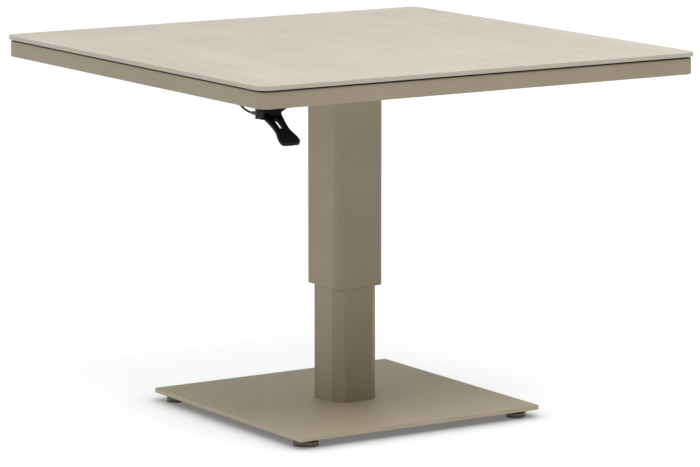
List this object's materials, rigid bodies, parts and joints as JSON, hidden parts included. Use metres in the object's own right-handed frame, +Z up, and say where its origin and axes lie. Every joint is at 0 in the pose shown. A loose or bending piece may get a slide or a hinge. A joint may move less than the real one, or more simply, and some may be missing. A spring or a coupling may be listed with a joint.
{
  "type": "telescoping pedestal table",
  "caption": "Square outdoor table with a thin ceramic slab on a telescoping square column, a flat base plate on levelling feet and a release lever under the apron",
  "frame": {"origin": "on the floor under the middle of the column, table at its full height", "axes": "+Z up; the release lever reaches towards -Y, near the -X end of the front apron"},
  "size_m": [0.9, 0.9, 0.669],
  "materials": {
    "ceramic_slab": "matte",
    "taupe_powder_coat": "fine matte powder coat",
    "black_rubber": "matte",
    "black_plastic": "satin",
    "cable_plastic": "satin",
    "zinc_steel": "zinc plated",
    "chromed_rod": "polished",
    "black_coat": "satin"
  },
  "bodies": {
    "base": {"base_plate": "taupe_powder_coat", "base_bolts": "zinc_steel", "column_foot_plate": "taupe_powder_coat", "foot_bosses": "taupe_powder_coat", "inner_column": "taupe_powder_coat", "upper_glides": "black_plastic", "gas_spring_cylinder": "black_coat", "spring_lock_nut": "zinc_steel", "rod_guide": "black_plastic"},
    "lift_head": {"adjuster_nut": "zinc_steel", "apron_corner_back_left": "taupe_powder_coat", "apron_corner_back_right": "taupe_powder_coat", "apron_corner_front_left": "taupe_powder_coat", "apron_corner_front_right": "taupe_powder_coat", "apron_rail_back": "taupe_powder_coat", "apron_rail_front": "taupe_powder_coat", "apron_rail_left": "taupe_powder_coat", "apron_rail_right": "taupe_powder_coat", "bond_pads": "black_rubber", "cable_adjuster": "zinc_steel", "cable_clip": "black_plastic", "cable_ferrule": "zinc_steel", "cable_sheath": "cable_plastic", "centre_rail_back": "taupe_powder_coat", "centre_rail_front": "taupe_powder_coat", "edge_rail_back": "taupe_powder_coat", "edge_rail_front": "taupe_powder_coat", "gas_spring_piston": "black_plastic", "gas_spring_rod": "chromed_rod", "head_bolts": "zinc_steel", "head_plate": "taupe_powder_coat", "lever_bracket": "black_coat", "lever_bracket_screws": "zinc_steel", "lever_pivot_pin": "black_coat", "lower_glides": "black_plastic", "outer_column": "taupe_powder_coat", "pivot_retaining_ring": "black_coat", "rail_inserts": "zinc_steel", "release_arm_pin": "zinc_steel", "release_bracket": "black_coat", "release_screws": "zinc_steel", "rod_lock_nut": "zinc_steel", "seal_back": "black_rubber", "seal_front": "black_rubber", "seal_left": "black_rubber", "seal_right": "black_rubber", "table_top": "ceramic_slab"},
    "lever": {"lever_paddle": "black_plastic"},
    "lever_wire": {"lever_wire": "zinc_steel"},
    "head_wire": {"head_wire": "zinc_steel"},
    "release_arm": {"release_arm": "black_coat"},
    "valve_pin": {"valve_pin": "chromed_rod"},
    "foot_front_left": {"foot_pad_front_left": "black_plastic", "foot_stud_front_left": "zinc_steel"},
    "foot_front_right": {"foot_pad_front_right": "black_plastic", "foot_stud_front_right": "zinc_steel"},
    "foot_back_right": {"foot_pad_back_right": "black_plastic", "foot_stud_back_right": "zinc_steel"},
    "foot_back_left": {"foot_pad_back_left": "black_plastic", "foot_stud_back_left": "zinc_steel"}
  },
  "joints": [
    {"name": "height_slide", "type": "slide", "parent": "base", "child": "lift_head", "axis": [0, 0, 1], "range_m": [-0.2, 0]},
    {"name": "lever_hinge", "type": "hinge", "parent": "lift_head", "child": "lever", "pos_m": [-0.3695, -0.347, 0.6154], "axis": [-1, 0, 0], "range_deg": [0, 20], "stiffness_Nm_per_rad": 0.6, "springref_deg": -8.59},
    {"name": "lever_wire_slide", "type": "slide", "parent": "lift_head", "child": "lever_wire", "axis": [0, -1, 0], "range_m": [0, 0.0035]},
    {"name": "head_wire_slide", "type": "slide", "parent": "lift_head", "child": "head_wire", "axis": [-1, 0, 0], "range_m": [0, 0.0035]},
    {"name": "release_arm_hinge", "type": "hinge", "parent": "lift_head", "child": "release_arm", "pos_m": [0.006, 0, 0.6484], "axis": [0, -1, 0], "range_deg": [0, 28.6]},
    {"name": "valve_pin_slide", "type": "slide", "parent": "lift_head", "child": "valve_pin", "axis": [0, 0, -1], "range_m": [0, 0.003]},
    {"name": "foot_front_left_screw", "type": "slide", "parent": "base", "child": "foot_front_left", "axis": [0, 0, -1], "range_m": [0, 0.005]},
    {"name": "foot_front_right_screw", "type": "slide", "parent": "base", "child": "foot_front_right", "axis": [0, 0, -1], "range_m": [0, 0.005]},
    {"name": "foot_back_right_screw", "type": "slide", "parent": "base", "child": "foot_back_right", "axis": [0, 0, -1], "range_m": [0, 0.005]},
    {"name": "foot_back_left_screw", "type": "slide", "parent": "base", "child": "foot_back_left", "axis": [0, 0, -1], "range_m": [0, 0.005]}
  ],
  "couplings": [
    {"joint": "lever_wire_slide", "follows": "lever_hinge", "m_per_rad": 0.01},
    {"joint": "head_wire_slide", "follows": "lever_hinge", "m_per_rad": 0.01},
    {"joint": "release_arm_hinge", "follows": "lever_hinge", "ratio": 1.4286},
    {"joint": "valve_pin_slide", "follows": "lever_hinge", "m_per_rad": 0.0085714}
  ]
}
